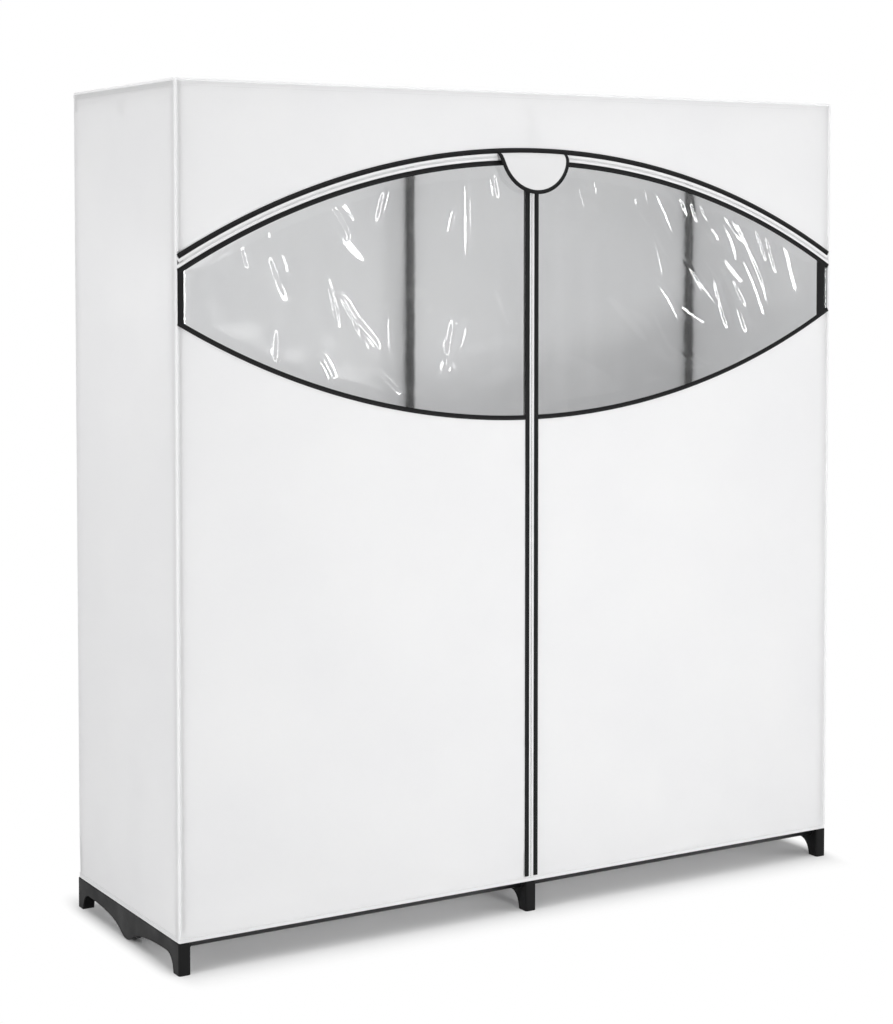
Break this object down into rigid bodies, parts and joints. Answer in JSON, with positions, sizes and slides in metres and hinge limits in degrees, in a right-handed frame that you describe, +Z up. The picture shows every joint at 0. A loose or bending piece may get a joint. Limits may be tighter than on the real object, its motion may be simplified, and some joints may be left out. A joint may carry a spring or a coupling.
{
  "type": "portable fabric wardrobe",
  "caption": "Free-standing wardrobe: zipped white cloth cover with arched clear windows, over a steel tube frame on black resin bases.",
  "frame": {"origin": "on the floor under the middle of the wardrobe's body; the tab stands about 21 mm proud of the front", "axes": "+X to the right as seen from the front, +Y to the back, +Z up"},
  "size_m": [1.524, 0.5164, 1.626],
  "materials": {
    "white_cloth": "matte non-woven cloth, off-white",
    "zip_tape": "white woven tape with a nylon coil",
    "black_binding": "black woven binding tape, dull",
    "clear_vinyl": "clear soft vinyl sheet, glossy",
    "black_resin": "moulded, satin to matte",
    "painted_steel": "black powder coat, satin",
    "zip_metal": "white enamelled zip slider"
  },
  "bodies": {
    "frame_and_cover": {"left_base": "black_resin", "middle_base": "black_resin", "right_base": "black_resin", "left_top_rail": "black_resin", "middle_top_rail": "black_resin", "right_top_rail": "black_resin", "left_front_lower_upright": "painted_steel", "left_front_upper_upright": "painted_steel", "left_rear_lower_upright": "painted_steel", "left_rear_upper_upright": "painted_steel", "middle_front_lower_upright": "painted_steel", "middle_front_upper_upright": "painted_steel", "middle_rear_lower_upright": "painted_steel", "middle_rear_upper_upright": "painted_steel", "right_front_lower_upright": "painted_steel", "right_front_upper_upright": "painted_steel", "right_rear_lower_upright": "painted_steel", "right_rear_upper_upright": "painted_steel", "left_front_base_tube": "painted_steel", "left_rear_base_tube": "painted_steel", "right_front_base_tube": "painted_steel", "right_rear_base_tube": "painted_steel", "left_front_top_tube": "painted_steel", "left_rear_top_tube": "painted_steel", "right_front_top_tube": "painted_steel", "right_rear_top_tube": "painted_steel", "left_hanging_rod": "painted_steel", "right_hanging_rod": "painted_steel", "left_side_panel": "white_cloth", "right_side_panel": "white_cloth", "back_panel": "white_cloth", "top_panel": "white_cloth", "left_front_valance": "white_cloth", "right_front_valance": "white_cloth", "edge_piping": "white_cloth", "hem_band": "white_cloth", "arch_upper_zip_tape": "zip_tape", "arch_upper_binding": "black_binding"},
    "left_door": {"left_door_cloth": "white_cloth", "left_window": "clear_vinyl", "left_window_binding": "black_binding", "left_arch_binding": "black_binding", "left_centre_binding": "black_binding", "left_arch_zip_tape": "zip_tape", "left_centre_zip_tape": "zip_tape"},
    "right_door": {"right_door_cloth": "white_cloth", "right_window": "clear_vinyl", "right_window_binding": "black_binding", "right_arch_binding": "black_binding", "right_centre_binding": "black_binding", "right_arch_zip_tape": "zip_tape", "right_centre_zip_tape": "zip_tape"},
    "tab": {"tab_panel": "white_cloth", "tab_binding": "black_binding"},
    "centre_zip_slider": {"centre_slider": "zip_metal"},
    "centre_zip_pull": {"centre_pull": "zip_metal"},
    "left_arch_zip_slider": {"left_arch_slider": "zip_metal"},
    "left_arch_zip_pull": {"left_arch_pull": "zip_metal"},
    "right_arch_zip_slider": {"right_arch_slider": "zip_metal"},
    "right_arch_zip_pull": {"right_arch_pull": "zip_metal"}
  },
  "joints": [
    {"name": "left_door_hinge", "type": "hinge", "parent": "frame_and_cover", "child": "left_door", "pos_m": [-0.7567, -0.2478, 0], "axis": [0, 0, -1], "range_deg": [0, 110]},
    {"name": "right_door_hinge", "type": "hinge", "parent": "frame_and_cover", "child": "right_door", "pos_m": [0.7567, -0.2478, 0], "axis": [0, 0, 1], "range_deg": [0, 110]},
    {"name": "tab_hinge", "type": "hinge", "parent": "frame_and_cover", "child": "tab", "pos_m": [0, -0.2484, 1.5062], "axis": [-1, 0, 0], "range_deg": [0, 110]},
    {"name": "centre_zip_slide", "type": "slide", "parent": "left_door", "child": "centre_zip_slider", "axis": [0, 0, -1], "range_m": [0, 1.37]},
    {"name": "centre_pull_hinge", "type": "hinge", "parent": "centre_zip_slider", "child": "centre_zip_pull", "pos_m": [0, -0.2505, 1.462], "axis": [-1, 0, 0], "range_deg": [0, 20]},
    {"name": "left_arch_zip_run", "type": "hinge", "parent": "left_door", "child": "left_arch_zip_slider", "pos_m": [0, -0.2464, 0.007], "axis": [0, -1, 0], "range_deg": [0, 28.5]},
    {"name": "left_arch_pull_hinge", "type": "hinge", "parent": "left_arch_zip_slider", "child": "left_arch_zip_pull", "pos_m": [-0.024, -0.2505, 1.49881], "axis": [-0.9999, 0, -0.0161], "range_deg": [0, 20]},
    {"name": "right_arch_zip_run", "type": "hinge", "parent": "right_door", "child": "right_arch_zip_slider", "pos_m": [0, -0.2464, 0.007], "axis": [0, 1, 0], "range_deg": [0, 28.5]},
    {"name": "right_arch_pull_hinge", "type": "hinge", "parent": "right_arch_zip_slider", "child": "right_arch_zip_pull", "pos_m": [0.024, -0.2505, 1.49881], "axis": [-0.9999, 0, 0.0161], "range_deg": [0, 20]}
  ]
}
